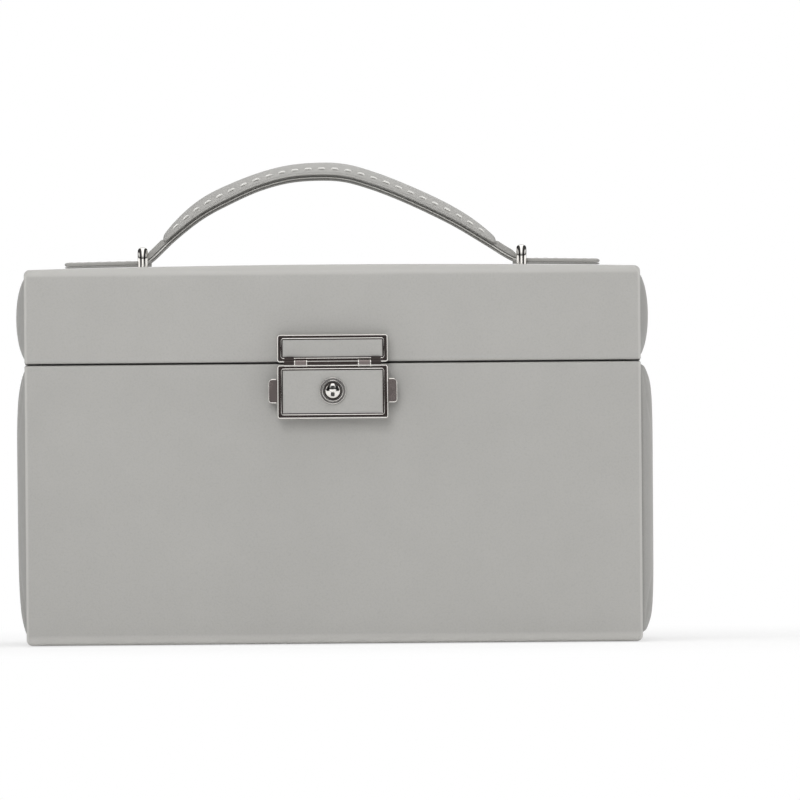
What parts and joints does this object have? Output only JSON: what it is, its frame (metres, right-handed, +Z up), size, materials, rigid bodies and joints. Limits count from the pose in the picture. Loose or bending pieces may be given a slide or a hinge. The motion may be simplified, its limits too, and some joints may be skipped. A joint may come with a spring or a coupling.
{
  "type": "travel jewelry case",
  "caption": "Hard travel jewelry case in grey grained leather with padded sides, sliding strap handle, squeeze-catch lock flap, mirror lid and a lifting ring tray.",
  "frame": {"origin": "on the floor under the middle of the whole case, hinges and lock included", "axes": "+X to the right along the width, -Y is the front with the lock, +Z up"},
  "size_m": [0.2316, 0.1619, 0.1752],
  "materials": {
    "grey_leather": "fine-grained satin",
    "board": "matt pressed board",
    "velvet": "short-pile velvet",
    "polished_nickel": "polished nickel plate",
    "steel": "plain steel",
    "mirror_glass": "silvered glass"
  },
  "bodies": {
    "case": {"body_shell": "board", "body_wrap": "grey_leather", "body_side_pad_left": "grey_leather", "body_side_pad_right": "grey_leather", "body_liner": "velvet", "body_floor_pad": "velvet", "lower_divider_long": "velvet", "lower_divider_cross": "velvet", "hinge_leaf_lower_left": "polished_nickel", "hinge_leaf_lower_right": "polished_nickel", "hinge_pin_left": "steel", "hinge_pin_right": "steel", "lock_keeper": "polished_nickel", "arm_rivet_left": "steel", "arm_rivet_right": "steel"},
    "lid": {"lid_shell": "board", "lid_wrap": "grey_leather", "lid_side_pad_left": "grey_leather", "lid_side_pad_right": "grey_leather", "lid_liner": "velvet", "mirror_frame": "velvet", "mirror_glass": "mirror_glass", "hinge_leaf_upper_left": "polished_nickel", "hinge_leaf_upper_right": "polished_nickel", "lid_arm_left": "steel", "lid_arm_right": "steel", "lid_arm_screw_left": "steel", "lid_arm_screw_right": "steel", "handle_loop_left": "polished_nickel", "handle_loop_right": "polished_nickel", "loop_backplate_left": "steel", "loop_backplate_right": "steel", "handle_strap": "grey_leather", "handle_grip": "grey_leather", "lock_top_plate": "polished_nickel", "lock_top_inlay": "grey_leather", "hasp_pin": "steel"},
    "hasp": {"lock_flap": "polished_nickel", "lock_flap_inlay": "grey_leather", "lock_collar": "polished_nickel", "lock_backplate": "steel", "catch_spring_left": "steel", "catch_spring_right": "steel"},
    "catch_left": {"catch_left": "steel"},
    "catch_right": {"catch_right": "steel"},
    "barrel": {"lock_barrel": "polished_nickel", "lock_cam": "steel"},
    "strap_end_left": {"strap_end_left": "grey_leather"},
    "strap_end_right": {"strap_end_right": "grey_leather"},
    "tray_arms": {"tray_arm_left": "steel", "tray_arm_right": "steel"},
    "tray": {"tray_shell": "velvet", "tray_divider": "velvet", "ring_roll_1": "velvet", "ring_roll_2": "velvet", "ring_roll_3": "velvet", "ring_roll_4": "velvet", "ring_roll_5": "velvet", "case_key": "polished_nickel"}
  },
  "joints": [
    {"name": "lid_hinge", "type": "hinge", "parent": "case", "child": "lid", "pos_m": [0, 0.0788, 0.10255], "axis": [-1, 0, 0], "range_deg": [0, 100]},
    {"name": "lock_flap_hinge", "type": "hinge", "parent": "lid", "child": "hasp", "pos_m": [0, -0.0792, 0.1023], "axis": [-1, 0, 0], "range_deg": [0, 155]},
    {"name": "squeeze_tab_left", "type": "slide", "parent": "hasp", "child": "catch_left", "axis": [1, 0, 0], "range_m": [0, 0.0015], "stiffness_N_per_m": 150, "springref_m": -0.002, "deforming": ["catch_spring_left"]},
    {"name": "squeeze_tab_right", "type": "slide", "parent": "hasp", "child": "catch_right", "axis": [-1, 0, 0], "range_m": [0, 0.0015], "stiffness_N_per_m": 150, "springref_m": -0.002, "deforming": ["catch_spring_right"]},
    {"name": "key_barrel_turn", "type": "hinge", "parent": "hasp", "child": "barrel", "pos_m": [0, -0.0799, 0.0923], "axis": [0, 1, 0], "range_deg": [-90, 0]},
    {"name": "strap_slide_left", "type": "slide", "parent": "lid", "child": "strap_end_left", "axis": [-1, 0, 0], "range_m": [0, 0.0096], "deforming": ["handle_strap", "handle_grip"]},
    {"name": "strap_slide_right", "type": "slide", "parent": "lid", "child": "strap_end_right", "axis": [1, 0, 0], "range_m": [0, 0.0096]},
    {"name": "tray_arm_swing", "type": "hinge", "parent": "case", "child": "tray_arms", "pos_m": [0, 0.0476, 0.07445], "axis": [-1, 0, 0], "range_deg": [0, 100]},
    {"name": "tray_level", "type": "hinge", "parent": "tray_arms", "child": "tray", "pos_m": [0, 0.0081, 0.06005], "axis": [-1, 0, 0], "range_deg": [-100, 0]}
  ],
  "couplings": [
    {"joint": "strap_slide_right", "follows": "strap_slide_left", "ratio": 1},
    {"joint": "tray_arm_swing", "follows": "lid_hinge", "ratio": 1},
    {"joint": "tray_level", "follows": "lid_hinge", "ratio": -1}
  ]
}
